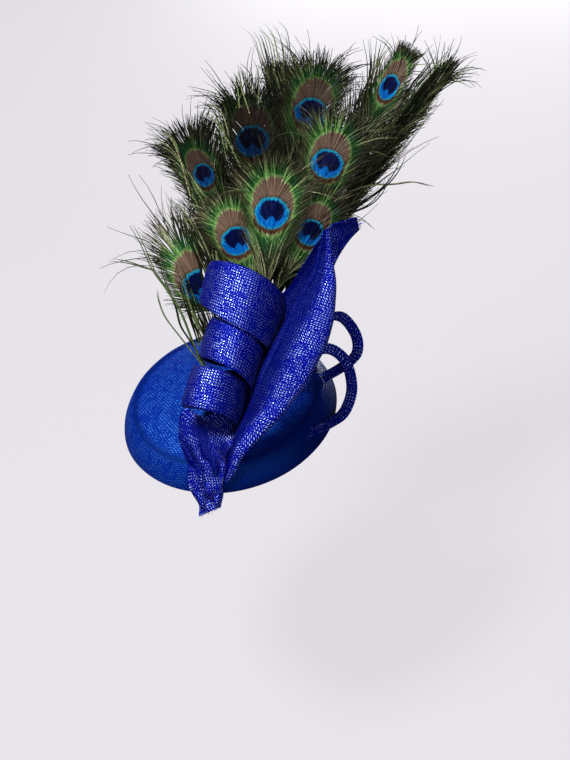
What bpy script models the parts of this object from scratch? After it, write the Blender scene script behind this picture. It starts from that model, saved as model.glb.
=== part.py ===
"""Button fascinator hat: a domed straw-cloth base with a curled strip, a rolled leaf,
two narrow loops, peacock feathers and a hidden comb. Metres, +Z up, origin at the centre
of the rim. The wearer's face is towards -Y."""
import math
from collections import namedtuple

import bpy
from mathutils import Matrix, Vector

MM = 0.001

# Base: a shallow crown, a rounded shoulder below its edge, and a side down to the rim
RIM_RADIUS = 90.0 * MM
BASE_HEIGHT = 34.0 * MM
CROWN_EDGE_RADIUS = 74.0 * MM
CROWN_DROP = 14.7 * MM
SHOULDER_RADIUS = 79.5 * MM
SHOULDER_HEIGHT = 18.7 * MM
SHOULDER_BEVEL = 3.3 * MM
SIDE_HEIGHT = 9.0 * MM
SIDE_SLOPE_IN = 3.4 * MM
RIM_BEVEL_HEIGHT = 4.2 * MM
RIM_BEVEL_IN = 1.0 * MM
BASE_WALL = 1.5 * MM
BASE_STEPS = 56
CROWN_STEPS = 6

# Cloth thicknesses and the gap that pieces keep
STRIP_WALL = 1.2 * MM
FEATHER_WALL = 1.5 * MM
SEAT_GAP = 0.35 * MM

# The side that the hat is shown from. The trims are set out in this view: across to the
# right, up, and out towards the eye, all from the origin, in millimetres.
VIEW_AZIMUTH = math.radians(84.2)
VIEW_ELEVATION = math.radians(43.8)
VIEW_ROLL = math.radians(13.5)
EYE = Vector((45.8, 25.8, 1300.0))


def view_axes():
    """The right, up and out directions of the view, as the columns of a matrix."""
    sa, ca = math.sin(VIEW_AZIMUTH), math.cos(VIEW_AZIMUTH)
    se, ce = math.sin(VIEW_ELEVATION), math.cos(VIEW_ELEVATION)
    level_right = Vector((ca, sa, 0))
    level_up = Vector((-sa * se, ca * se, ce))
    out = Vector((sa * ce, -ca * ce, se))
    sr, cr = math.sin(VIEW_ROLL), math.cos(VIEW_ROLL)
    right = cr * level_right - sr * level_up
    up = cr * level_up + sr * level_right
    return Matrix((right, up, out)).transposed()


VIEW = view_axes()


def seen(across, up, out):
    """A point of the view, for where it is seen on the plane through the origin."""
    nearer = 1 - out / EYE.z
    return Vector((EYE.x + (across - EYE.x) * nearer, EYE.y + (up - EYE.y) * nearer, out))


def to_hat(point):
    return VIEW @ (point * MM)


def interpolate(rows, at):
    """Every column of a table at a value of its first column, on a smooth curve."""
    last = len(rows) - 1
    i = 0
    while i < last - 1 and at > rows[i + 1][0]:
        i += 1
    before, start, end, after = rows[max(i - 1, 0)], rows[i], rows[i + 1], rows[min(i + 2, last)]
    span = end[0] - start[0]
    t = (at - start[0]) / span
    result = []
    for column in range(1, len(start)):
        slope_in = (end[column] - before[column]) / (end[0] - before[0]) * span
        slope_out = (after[column] - start[column]) / (after[0] - start[0]) * span
        result.append((2 * t ** 3 - 3 * t ** 2 + 1) * start[column] + (t ** 3 - 2 * t ** 2 + t) * slope_in
                      + (3 * t ** 2 - 2 * t ** 3) * end[column] + (t ** 3 - t ** 2) * slope_out)
    return result


def steps(first, last, count):
    return [first + (last - first) * i / count for i in range(count + 1)]


# Base

def base_profile():
    """The outer line of the base from the crown's centre down to the rim: radius, height."""
    ball = (CROWN_EDGE_RADIUS ** 2 + CROWN_DROP ** 2) / (2 * CROWN_DROP)
    crown = [(r, BASE_HEIGHT - ball + math.sqrt(ball ** 2 - r ** 2))
             for r in steps(0, CROWN_EDGE_RADIUS, CROWN_STEPS)]
    shoulder = [(SHOULDER_RADIUS, SHOULDER_HEIGHT),
                (SHOULDER_RADIUS + SHOULDER_BEVEL, SHOULDER_HEIGHT - SHOULDER_BEVEL)]
    side = [(RIM_RADIUS - SIDE_SLOPE_IN, SIDE_HEIGHT),
            (RIM_RADIUS - RIM_BEVEL_IN, RIM_BEVEL_HEIGHT), (RIM_RADIUS, 0)]
    return crown + shoulder + side


PROFILE = [Vector((r, z)) for r, z in base_profile()]


def off_the_base(point, gap):
    """The point itself, or where it stands the gap away from the outside of the base."""
    flat = Vector((point.x, point.y))
    here = Vector((flat.length, point.z))
    if here.y < -gap:
        return point
    best = None
    for a, b in zip(PROFILE, PROFILE[1:]):
        along = b - a
        t = min(max((here - a).dot(along) / along.length_squared, 0), 1)
        foot = a + along * t
        distance = (here - foot).length
        if best is None or distance < best[0]:
            best = (distance, foot, Vector((-along.y, along.x)).normalized())
    distance, foot, outward = best
    if (here - foot).dot(outward) < 0:
        distance = -distance
    if distance >= gap:
        return point
    here = foot + outward * gap
    turn = flat.normalized() if flat.length > 1e-9 else Vector((1, 0))
    return Vector((turn.x * here.x, turn.y * here.x, here.y))


def material(name, colour, roughness, metallic=0.0):
    made = bpy.data.materials.new(name)
    made.use_nodes = True
    shader = made.node_tree.nodes["Principled BSDF"]
    shader.inputs["Base Color"].default_value = (*colour, 1)
    shader.inputs["Roughness"].default_value = roughness
    shader.inputs["Metallic"].default_value = metallic
    return made


def add(name, mesh, finish, smooth=True):
    thing = bpy.data.objects.new(name, mesh)
    HAT.objects.link(thing)
    thing.parent = ORIGIN
    mesh.materials.append(finish)
    if smooth:
        mesh.shade_smooth()
        mesh.set_sharp_from_angle(angle=math.radians(50))
    return thing


def thicken(thing, wall, offset):
    solid = thing.modifiers.new("wall", "SOLIDIFY")
    solid.thickness = wall
    solid.offset = offset
    solid.use_even_offset = False


def make_base(finish):
    mesh = bpy.data.meshes.new("base")
    mesh.from_pydata([(r, 0, z) for r, z in base_profile()],
                     [(i, i + 1) for i in range(len(PROFILE) - 1)], [])
    base = add("base", mesh, finish, smooth=False)
    screw = base.modifiers.new("turn", "SCREW")
    screw.angle = math.tau
    screw.steps = screw.render_steps = BASE_STEPS
    screw.use_merge_vertices = True
    screw.merge_threshold = 0.01 * MM
    screw.use_smooth_shade = True
    thicken(base, BASE_WALL, -1)
    return base


def grid_mesh(name, rows):
    """A sheet through rows of points, each row with the same number of points."""
    width = len(rows[0])
    faces = []
    for i in range(len(rows) - 1):
        for j in range(width - 1):
            a = i * width + j
            faces.append((a, a + 1, a + width + 1, a + width))
    mesh = bpy.data.meshes.new(name)
    mesh.from_pydata([p for row in rows for p in row], [], faces)
    return mesh


# Curl

CURL_LEAN = math.radians(14)
CURL_TIP_BACK = math.radians(17)
CURL_COLUMNS = 4
STATIONS_PER_TURN = 22
STRIP_GAP = STRIP_WALL / 2 + 2 * SEAT_GAP

# The coil. A whole turn number is where the strip crosses the front of the coil, and a
# quarter later it is at the left. The centre is given as it is seen.
Coil = namedtuple("Coil", "turn across up out radius half_width")
COIL_STATIONS_PER_TURN = 12
COIL = (
    Coil(0.75, -12.5, 9.5, 67.0, 22.0, 17.0),
    Coil(1.25, -12.9, 15.2, 67.0, 22.5, 17.0),
    Coil(2.25, 8.8, 54.2, 57.0, 28.5, 18.0),
    Coil(3.00, 11.0, 83.0, 47.0, 32.0, 24.5),
    Coil(3.25, 11.2, 99.0, 43.0, 32.2, 17.5),
)

# The strip's two ends, by its two edges: the upper one and the lower one, as they are seen.
Ends = namedtuple("Ends", "turn upper_across upper_up upper_out lower_across lower_up lower_out")
TAIL = (
    Ends(-0.45, -25.8, -87.8, 55.0, -7.5, -80.0, 61.0),
    Ends(-0.30, -27.0, -77.0, 57.0, -6.5, -72.0, 63.5),
    Ends(-0.15, -31.8, -62.0, 58.5, -5.0, -63.3, 66.5),
    Ends(0.05, -35.0, -45.0, 63.5, -3.8, -49.7, 71.0),
    Ends(0.25, -42.0, -22.0, 52.0, -2.0, -38.0, 72.0),
    Ends(0.40, -39.0, 0.0, 45.0, 1.5, -31.0, 72.5),
    Ends(0.56, -20.0, -5.0, 49.0, 5.0, -22.0, 72.0),
)
FLAP = (
    Ends(3.50, 5.0, 110.0, 12.0, 12.0, 76.0, 18.0),
    Ends(3.75, 41.0, 97.5, 24.0, 52.0, 66.0, 28.0),
    Ends(3.95, 58.5, 117.5, 33.0, 74.0, 91.0, 34.0),
    Ends(4.15, 81.0, 152.5, 40.0, 88.0, 124.5, 40.0),
    Ends(4.30, 95.0, 158.5, 40.0, 98.0, 141.0, 40.0),
    Ends(4.42, 105.5, 161.5, 38.0, 107.5, 151.0, 38.0),
)


def coil_axes():
    """The coil's own axis, its side to the left and its side to the front, in the view."""
    lean, tip = CURL_LEAN, CURL_TIP_BACK
    axis = Vector((math.cos(tip) * math.sin(lean), math.cos(tip) * math.cos(lean), -math.sin(tip)))
    front = Vector((math.sin(tip) * math.sin(lean), math.sin(tip) * math.cos(lean), math.cos(tip)))
    return axis, front.cross(axis), front


def coil_edges(turn):
    """The strip's two edges on the coil at a turn number."""
    axis, side, front = coil_axes()
    across, up, out, radius, half_width = interpolate(COIL, turn)
    angle = math.tau * turn
    middle = seen(across, up, out) + radius * (math.cos(angle) * front + math.sin(angle) * side)
    return middle + axis * half_width, middle - axis * half_width


def curl_stations():
    """The table of both edges over the whole strip, from the tail to the flap."""
    table = []
    for row in TAIL:
        table.append((row.turn, *seen(*row[1:4]), *seen(*row[4:7])))
    first, last = COIL[0].turn, COIL[-1].turn
    for turn in steps(first, last, round((last - first) * COIL_STATIONS_PER_TURN)):
        upper, lower = coil_edges(turn)
        table.append((turn, *upper, *lower))
    for row in FLAP:
        table.append((row.turn, *seen(*row[1:4]), *seen(*row[4:7])))
    return table


def curl_rows():
    table = curl_stations()
    first, last = table[0][0], table[-1][0]
    rows = []
    for turn in steps(first, last, round((last - first) * STATIONS_PER_TURN)):
        values = interpolate(table, turn)
        upper, lower = Vector(values[:3]), Vector(values[3:])
        rows.append([off_the_base(to_hat(upper.lerp(lower, j / CURL_COLUMNS)), STRIP_GAP)
                     for j in range(CURL_COLUMNS + 1)])
    return rows


def make_curl(finish):
    curl = add("curl", grid_mesh("curl", curl_rows()), finish)
    thicken(curl, STRIP_WALL, 0)
    return curl


# Leaf

LEAF_STATIONS = 34
LEAF_FACE_COLUMNS = 6
LEAF_ROLL_COLUMNS = 4
LEAF_ROLL_TURN = math.radians(220)
LEAF_FULL_ROLL = 3.4

# Cross-sections from the foot to the tip: the rolled left edge and the free right edge as
# they are seen, how far the middle bulges out, and the radius of the roll.
Leaf = namedtuple("Leaf", "key left_across left_up left_out right_across right_up right_out bulge roll")
LEAF = (
    Leaf(0.0, -5.6, -60.0, 70.5, 0.8, -61.5, 69.5, 0.5, 0.9),
    Leaf(0.6, -4.4, -48.0, 75.5, 3.5, -50.5, 73.0, 1.5, 1.2),
    Leaf(1.4, 2.7, -24.0, 79.0, 12.0, -36.0, 77.0, 3.0, 2.0),
    Leaf(2.3, 10.0, -7.5, 82.0, 30.0, -17.0, 78.0, 5.0, 3.0),
    Leaf(3.2, 17.3, 7.2, 86.0, 47.0, 1.7, 76.0, 7.0, 3.6),
    Leaf(4.2, 26.5, 31.0, 87.0, 61.2, 20.0, 71.0, 8.0, 4.0),
    Leaf(5.4, 37.5, 54.8, 80.0, 74.0, 43.8, 64.0, 8.5, 4.2),
    Leaf(6.6, 48.5, 78.7, 71.0, 83.0, 66.0, 57.0, 8.5, 4.2),
    Leaf(7.8, 57.7, 97.0, 64.0, 86.5, 88.0, 52.0, 7.5, 4.0),
    Leaf(8.8, 68.7, 115.3, 59.0, 86.5, 110.0, 49.0, 5.5, 3.4),
    Leaf(9.8, 75.4, 136.0, 54.0, 84.3, 133.0, 47.5, 2.0, 1.6),
    Leaf(10.4, 77.4, 151.3, 51.5, 82.0, 150.8, 49.5, 0.4, 0.9),
)


def leaf_section(left, right, bulge, roll):
    """Points from the free right edge over the face and round the rolled left edge."""
    width = left - right
    sideways = width.normalized()
    outward = sideways.cross(Vector((-width.y, width.x, 0)).normalized()).normalized()
    if outward.z < 0:
        outward = -outward
    centre = left - sideways * roll - outward * roll
    face_end = centre + outward * roll
    points = []
    for j in range(LEAF_FACE_COLUMNS + 1):
        t = j / LEAF_FACE_COLUMNS
        points.append(right.lerp(face_end, t) + outward * bulge * 4 * t * (1 - t))
    turn = LEAF_ROLL_TURN * min(roll / LEAF_FULL_ROLL, 1) ** 1.5
    for j in range(1, LEAF_ROLL_COLUMNS + 1):
        angle = turn * j / LEAF_ROLL_COLUMNS
        points.append(centre + roll * (math.cos(angle) * outward + math.sin(angle) * sideways))
    return points


def make_leaf(finish):
    rows = []
    for key in steps(LEAF[0].key, LEAF[-1].key, LEAF_STATIONS):
        values = interpolate(LEAF, key)
        left, right = seen(*values[:3]), seen(*values[3:6])
        section = leaf_section(left, right, values[6], values[7])
        rows.append([off_the_base(to_hat(p), STRIP_GAP) for p in section])
    leaf = add("leaf", grid_mesh("leaf", rows), finish)
    thicken(leaf, STRIP_WALL, 0)
    return leaf


# Narrow loops

BAND_HALF_WIDTH = 3.9
BAND_GAP = STRIP_WALL / 2 + SEAT_GAP
BAND_STATIONS = 30

# The middle line of each band as it is seen, and which way its width points.
Band = namedtuple("Band", "key across up out width_across width_up width_out")
LOOP_UPPER = (
    Band(0, 56.0, 46.0, -4.0, 0.9, 0.1, 0.4),
    Band(1, 66.0, 62.0, 14.0, 0.8, -0.2, 0.6),
    Band(2, 78.0, 75.5, 24.0, 0.4, 0.6, 0.7),
    Band(3, 92.5, 78.5, 28.0, 0.5, 0.8, 0.4),
    Band(4, 104.5, 64.0, 28.0, 0.9, 0.3, 0.3),
    Band(5, 105.5, 48.0, 27.0, 0.9, -0.3, 0.4),
    Band(6, 93.0, 36.5, 25.0, 0.4, -0.8, 0.5),
    Band(7, 77.5, 27.5, 16.0, 0.3, -0.8, 0.5),
)
LOOP_LOWER = (
    Band(0, 60.0, 18.0, 30.5, 0.9, 0.1, 0.4),
    Band(1, 67.0, 40.0, 36.0, 0.7, -0.4, 0.6),
    Band(2, 80.0, 52.0, 36.0, 0.2, 0.9, 0.3),
    Band(3, 95.5, 42.5, 35.0, 0.7, 0.6, 0.3),
    Band(4, 101.5, 20.0, 32.0, 0.9, 0.1, 0.3),
    Band(5, 96.0, 0.5, 31.0, 0.8, -0.5, 0.3),
    Band(6, 84.5, -9.5, 38.0, 0.3, -0.8, 0.5),
    Band(7, 69.0, -16.5, 49.0, 0.2, -0.7, 0.7),
)


def make_loop(name, table, finish):
    rows = []
    for key in steps(table[0].key, table[-1].key, BAND_STATIONS):
        values = interpolate(table, key)
        middle, width = seen(*values[:3]), Vector(values[3:]).normalized()
        rows.append([off_the_base(to_hat(middle + width * BAND_HALF_WIDTH * side), BAND_GAP)
                     for side in (1, 0, -1)])
    loop = add(name, grid_mesh(name, rows), finish)
    thicken(loop, STRIP_WALL, 0)
    return loop


# Feathers

QUILL_HALF_WIDTH = 0.9
QUILL_GAP = FEATHER_WALL / 2 + SEAT_GAP
FOOT_ACROSS = 27.0
FOOT_UP = 43.0
FOOT_UP_PER_LAYER = 1.3
FOOT_SEARCH_STEP = 0.25
LANE_SPACING = 3.0
WAIST = Vector((31.0, 93.0))
FAN_GAP_AT_WAIST = 3.2
FAN_GAP_AT_TOP = 5.5
FAN_TOP_UP = 190.0
FAN_LEAN = 0.22
FAN_FRONT = 5.0
FAN_MIDDLE_ACROSS = 45.0
FAN_BOWL = 0.0011
FEATHER_COLUMNS = (-1.0, -0.5, 0.0, 0.5, 1.0)
QUILL_ROWS = 6
BLADE_ROWS = 15
BLADE_WIDEST = 0.62
BLADE_CLOSES = 0.72
BARB_SWEEP = 1.15
LOCK_DEPTH = 0.16

# Feathers from the front of the fan to its back: the quill's lane, counted from the left,
# the middle of the eye and the tip of the blade as they are seen, the blade's half width at
# the eye, where the blade begins past the waist, and how far up the waist is.
Feather = namedtuple("Feather", "lane eye_across eye_up tip_across tip_up half_width blade_start waist_up")
FEATHERS = (
    Feather(4, 35.0, 167.5, 38.5, 222.0, 32.0, 0.05, 93.0),
    Feather(6, 67.5, 151.0, 78.0, 197.0, 22.0, 0.05, 93.0),
    Feather(2, 5.0, 144.0, -9.0, 190.0, 26.0, 0.10, 90.0),
    Feather(8, 81.7, 208.3, 93.3, 263.0, 28.0, 0.08, 93.0),
    Feather(0, -26.7, 106.7, -58.0, 160.0, 29.0, 0.25, 74.0),
    Feather(7, 68.3, 250.8, 80.0, 308.0, 32.0, 0.08, 93.0),
    Feather(3, 18.3, 227.5, 12.5, 290.0, 33.0, 0.08, 93.0),
    Feather(1, -22.5, 198.3, -60.0, 244.0, 34.0, 0.08, 90.0),
    Feather(9, 133.3, 271.7, 164.0, 309.0, 27.0, 0.10, 93.0),
    Feather(5, 44.0, 276.0, 31.0, 323.0, 29.0, 0.12, 93.0),
    Feather(10, 163.0, 262.0, 201.0, 291.0, 17.0, 0.12, 93.0),
)


def fan_out(across, up, layer):
    """How far out a layer of the fan lies; the layers never cross."""
    rise = min(max((up - WAIST.y) / (FAN_TOP_UP - WAIST.y), 0), 1)
    gap = FAN_GAP_AT_WAIST + (FAN_GAP_AT_TOP - FAN_GAP_AT_WAIST) * rise * rise * (3 - 2 * rise)
    bowl = FAN_BOWL * (across - FAN_MIDDLE_ACROSS) ** 2
    lean = FAN_LEAN * (up - WAIST.y)
    return FAN_FRONT + lean - bowl * rise - gap * layer


def depth_on_base(across, up):
    """How far out the near side of the base is seen at a place."""
    out = RIM_RADIUS / MM
    point = to_hat(seen(across, up, out))
    while off_the_base(point, QUILL_GAP) == point and out > -RIM_RADIUS / MM:
        out -= FOOT_SEARCH_STEP
        point = to_hat(seen(across, up, out))
    return out


def spine_points(feather, layer):
    """The quill's and the blade's middle line, as seen, from the foot to the tip."""
    lane_offset = (feather.lane - (len(FEATHERS) - 1) / 2) * LANE_SPACING
    foot_across, foot_up = FOOT_ACROSS + lane_offset, FOOT_UP + FOOT_UP_PER_LAYER * layer
    table = [(0, foot_across, foot_up, depth_on_base(foot_across, foot_up))]
    waist = Vector((WAIST.x + lane_offset, feather.waist_up))
    eye, tip = Vector(feather[1:3]), Vector(feather[3:5])
    for key, at in ((3, waist), (5, eye), (6, tip)):
        table.append((key, at.x, at.y, fan_out(at.x, at.y, layer)))
    return table


def blade_half_width(t, feather):
    """The blade's half width at t, from 0 where it begins to 1 at its tip."""
    grow = math.sin(min(t / BLADE_WIDEST, 1) * math.pi / 2) ** 1.4
    close = math.cos(max((t - BLADE_CLOSES) / (1 - BLADE_CLOSES), 0) * math.pi / 2) ** 0.8
    return QUILL_HALF_WIDTH + (feather.half_width - QUILL_HALF_WIDTH) * grow * close


def make_feather(name, feather, layer, finish):
    table = spine_points(feather, layer)
    blade_from = 3 + feather.blade_start
    rows = []
    for key in steps(0, blade_from, QUILL_ROWS)[:-1]:
        across, up, out = interpolate(table, key)
        rows.append([off_the_base(to_hat(seen(across + QUILL_HALF_WIDTH * side, up, out)), QUILL_GAP)
                     for side in FEATHER_COLUMNS])
    for i, key in enumerate(steps(blade_from, 6, BLADE_ROWS)):
        t = i / BLADE_ROWS
        across, up, _ = interpolate(table, key)
        ahead, behind = interpolate(table, min(key + 0.05, 6)), interpolate(table, key - 0.05)
        forward = Vector((ahead[0] - behind[0], ahead[1] - behind[1])).normalized()
        sideways = Vector((forward.y, -forward.x))
        half = blade_half_width(t, feather)
        lock = 1 - LOCK_DEPTH * (i % 2)
        row = []
        for side in FEATHER_COLUMNS:
            reach = half * side * (1 if abs(side) < 1 else lock)
            at = Vector((across, up)) + sideways * reach + forward * BARB_SWEEP * abs(reach) * (1 - t)
            row.append(to_hat(seen(at.x, at.y, fan_out(at.x, at.y, layer))))
        rows.append(row)
    blade = add(name, grid_mesh(name, rows), finish)
    thicken(blade, FEATHER_WALL, 0)
    return blade


# Comb

COMB_REACH = 86.0 * MM
COMB_HALF_ANGLE = math.radians(19)
COMB_SPINE = 6.0 * MM
COMB_TEETH = 13
COMB_TOOTH_LENGTH = 26.0 * MM
COMB_TOOTH_SHARE = 0.5
COMB_TOOTH_TAPER = 0.12
COMB_SPINE_STEPS = 12
COMB_THICKNESS = 1.6 * MM
COMB_HEIGHT = 4.6 * MM


def comb_outline():
    """The comb from above: a curved spine along the front of the rim, teeth to the back."""
    points = []
    for angle in steps(COMB_HALF_ANGLE, -COMB_HALF_ANGLE, COMB_SPINE_STEPS):
        points.append((math.sin(angle) * COMB_REACH, -math.cos(angle) * COMB_REACH))
    root = COMB_REACH - COMB_SPINE
    half = math.sin(COMB_HALF_ANGLE) * root
    pitch = 2 * half / (COMB_TEETH - 1 + COMB_TOOTH_SHARE)
    for i in range(COMB_TEETH):
        left = -half + i * pitch
        right = left + pitch * COMB_TOOTH_SHARE
        taper = pitch * COMB_TOOTH_TAPER
        tip = -root + COMB_TOOTH_LENGTH
        points += [(left, -math.sqrt(root ** 2 - left ** 2)), (left + taper, tip),
                   (right - taper, tip), (right, -math.sqrt(root ** 2 - right ** 2))]
    return points


def make_comb(finish):
    curve = bpy.data.curves.new("comb", "CURVE")
    curve.dimensions = "2D"
    curve.fill_mode = "BOTH"
    curve.extrude = COMB_THICKNESS / 2
    line = curve.splines.new("POLY")
    outline = comb_outline()
    line.points.add(len(outline) - 1)
    for point, (x, y) in zip(line.points, outline):
        point.co = (x, y, 0, 1)
    line.use_cyclic_u = True
    comb = bpy.data.objects.new("comb", curve)
    HAT.objects.link(comb)
    comb.parent = ORIGIN
    comb.location.z = COMB_HEIGHT
    curve.materials.append(finish)
    return comb


for thing in list(bpy.data.objects):
    bpy.data.objects.remove(thing, do_unlink=True)
HAT = bpy.data.collections.new("button_fascinator_hat")
bpy.context.scene.collection.children.link(HAT)
ORIGIN = bpy.data.objects.new("rim_centre", None)
HAT.objects.link(ORIGIN)

BLUE = (0.012, 0.025, 0.42)
straw_base = material("sinamay_base", BLUE, 0.55)
straw_strip = material("sinamay_strip", BLUE, 0.5)
plume = material("peacock", (0.05, 0.11, 0.03), 0.5)
comb_finish = material("comb_plastic", (0.02, 0.02, 0.03), 0.35)

make_base(straw_base)
make_curl(straw_strip)
make_leaf(straw_strip)
make_loop("loop_upper", LOOP_UPPER, straw_strip)
make_loop("loop_lower", LOOP_LOWER, straw_strip)
for layer, feather in enumerate(FEATHERS):
    make_feather(f"feather_{layer + 1}", feather, layer, plume)
make_comb(comb_finish)
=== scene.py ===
# Button fascinator hat: the finish of every piece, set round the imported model.
import math

import bpy
import numpy as np
from mathutils import Matrix, Vector


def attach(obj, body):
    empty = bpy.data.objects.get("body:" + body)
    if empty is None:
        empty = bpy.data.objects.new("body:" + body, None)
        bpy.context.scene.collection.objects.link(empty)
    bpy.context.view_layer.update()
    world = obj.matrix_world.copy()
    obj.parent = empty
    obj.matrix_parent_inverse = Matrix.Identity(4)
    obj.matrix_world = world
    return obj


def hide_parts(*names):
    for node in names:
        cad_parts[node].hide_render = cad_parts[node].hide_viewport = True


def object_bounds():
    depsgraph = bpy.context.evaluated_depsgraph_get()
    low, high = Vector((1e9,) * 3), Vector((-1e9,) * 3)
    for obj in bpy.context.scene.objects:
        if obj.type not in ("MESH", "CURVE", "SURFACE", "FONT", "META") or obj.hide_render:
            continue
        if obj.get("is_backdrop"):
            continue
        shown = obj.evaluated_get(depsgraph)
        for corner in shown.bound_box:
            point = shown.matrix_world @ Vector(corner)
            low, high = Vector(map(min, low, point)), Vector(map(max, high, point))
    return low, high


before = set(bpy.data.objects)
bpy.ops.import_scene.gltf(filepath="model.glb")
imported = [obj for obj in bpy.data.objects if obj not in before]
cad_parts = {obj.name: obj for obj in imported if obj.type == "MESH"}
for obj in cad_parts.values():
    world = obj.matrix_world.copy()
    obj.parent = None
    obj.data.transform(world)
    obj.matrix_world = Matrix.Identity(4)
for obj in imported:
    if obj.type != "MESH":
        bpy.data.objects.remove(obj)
cadBox = [[float(value) for value in corner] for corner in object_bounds()]
scene = bpy.context.scene
mm = 0.001

print("stage: view")
view = {
    "azimuth": 84.2,  # degrees, the side that the hat is shown from
    "elevation": 43.8,
    "roll": 13.5,
    "eye": (45.8, 25.8, 1300.0),  # across, up and out from the rim's centre, mm
    "pixel": 1 / 1.2,  # mm in the rim centre's plane
    "imageHeight": 760,
    "sensor": 36.0,
}


def viewAxes():
    a, e, r = (math.radians(view[key]) for key in ("azimuth", "elevation", "roll"))
    levelRight = np.array((math.cos(a), math.sin(a), 0))
    levelUp = np.array((-math.sin(a) * math.sin(e), math.cos(a) * math.sin(e), math.cos(e)))
    out = np.array((math.sin(a) * math.cos(e), -math.cos(a) * math.cos(e), math.sin(e)))
    right = math.cos(r) * levelRight - math.sin(r) * levelUp
    up = math.cos(r) * levelUp + math.sin(r) * levelRight
    return np.stack((right, up, out), axis=1)


axes = viewAxes()
eyePoint = np.array(view["eye"])


def seen(points):
    # points of the view, for where they are seen on the plane through the rim's centre
    points = np.asarray(points, float)
    out = points[..., 2:3]
    flat = eyePoint[:2] + (points[..., :2] - eyePoint[:2]) * (1 - out / eyePoint[2])
    return np.concatenate((flat, out), axis=-1)


def toHat(points):
    return np.asarray(points) @ axes.T * mm


def readTable(rows, at):
    # every column of a table at values of its first column, on a smooth curve
    rows = np.array(rows, float)
    keys, last = rows[:, 0], len(rows) - 1
    at = np.atleast_1d(np.asarray(at, float))
    i = np.clip(np.searchsorted(keys, at, side="left") - 1, 0, last - 1)
    before, start, end, after = rows[np.maximum(i - 1, 0)], rows[i], rows[i + 1], rows[np.minimum(i + 2, last)]
    span = (end - start)[:, :1]
    t = (at[:, None] - start[:, :1]) / span
    slopeIn = (end - before) / (end - before)[:, :1] * span
    slopeOut = (after - start) / (after - start)[:, :1] * span
    values = ((2 * t ** 3 - 3 * t ** 2 + 1) * start + (t ** 3 - 2 * t ** 2 + t) * slopeIn
              + (3 * t ** 2 - 2 * t ** 3) * end + (t ** 3 - t ** 2) * slopeOut)
    return values[:, 1:]


def smooth(values):
    values = np.clip(values, 0, 1)
    return values * values * (3 - 2 * values)


def unit(vectors):
    return vectors / np.maximum(np.linalg.norm(vectors, axis=-1, keepdims=True), 1e-12)


def bell(at):
    # weights that fall away from nothing and add up to one
    weights = np.exp(-0.5 * at ** 2)
    return weights / weights.sum()


def wayAlong(line):
    # how far each point of a line is along it
    return np.concatenate(([0], np.cumsum(np.linalg.norm(np.diff(line, axis=0), axis=1))))


def between(at, places, rows):
    # every column of the rows, which are given at some places, at other places
    return np.stack([np.interp(at, places, column) for column in rows.T], axis=1)


def addObject(name, data):
    made = bpy.data.objects.new(name, data)
    scene.collection.objects.link(made)
    return made


def placeCamera():
    data = bpy.data.cameras.new("camera")
    data.sensor_width = view["sensor"]
    data.lens = view["sensor"] * view["eye"][2] / (view["imageHeight"] * view["pixel"])
    camera = addObject("camera", data)
    turn = Matrix([list(row) for row in axes]).to_4x4()
    camera.matrix_world = Matrix.Translation(Vector(toHat(eyePoint))) @ turn
    scene.camera = camera


placeCamera()

print("stage: shader groups")


def setInputs(tree, node, inputs):
    for key, value in inputs.items():
        if isinstance(value, bpy.types.NodeSocket):
            tree.links.new(value, node.inputs[key])
        else:
            node.inputs[key].default_value = value


def addNode(tree, kind, inputs=None, **settings):
    # the outputs of a new node
    made = tree.nodes.new("ShaderNode" + kind)
    for key, value in settings.items():
        setattr(made, key, value)
    setInputs(tree, made, inputs or {})
    return made.outputs


def maths(tree, operation, *values, clamp=False):
    return addNode(tree, "Math", dict(enumerate(values)), operation=operation, use_clamp=clamp)[0]


def times(tree, *values, clamp=False):
    return maths(tree, "MULTIPLY", *values, clamp=clamp)


def vectorMaths(tree, operation, *values):
    made = addNode(tree, "VectorMath", dict(enumerate(values)), operation=operation)
    return made["Value" if operation == "LENGTH" else "Vector"]


def scaled(tree, vector, scale):
    return addNode(tree, "VectorMath", {0: vector, "Scale": scale}, operation="SCALE")[0]


def mixColours(tree, factor, first, second, blend="MIX"):
    sockets = {0: factor, 6: first, 7: second}
    return addNode(tree, "Mix", sockets, data_type="RGBA", blend_type=blend)[2]


def ramp(tree, value, low, high, start=0.0, end=1.0):
    sockets = {0: value, 1: low, 2: high, 3: start, 4: end}
    return addNode(tree, "MapRange", sockets, interpolation_type="SMOOTHSTEP")[0]


def noise(tree, place, scale, detail=2.0):
    return addNode(tree, "TexNoise", {"Vector": place, "Scale": scale, "Detail": detail})


def bump(tree, height, distance, strength=1.0):
    return addNode(tree, "Bump", {"Strength": strength, "Distance": distance, "Height": height})[0]


def attributeValue(tree, name, output="Fac"):
    return addNode(tree, "Attribute", attribute_name=name)[output]


def makeGroup(name, inputs, outputs):
    # inputs and outputs: kind of socket -> names
    tree = bpy.data.node_groups.new(name, "ShaderNodeTree")
    for way, sockets in (("INPUT", inputs), ("OUTPUT", outputs)):
        for kind, keys in sockets.items():
            for key in keys:
                tree.interface.new_socket(key, in_out=way, socket_type="NodeSocket" + kind)
    return tree, tree.nodes.new("NodeGroupInput").outputs, tree.nodes.new("NodeGroupOutput")


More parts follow.
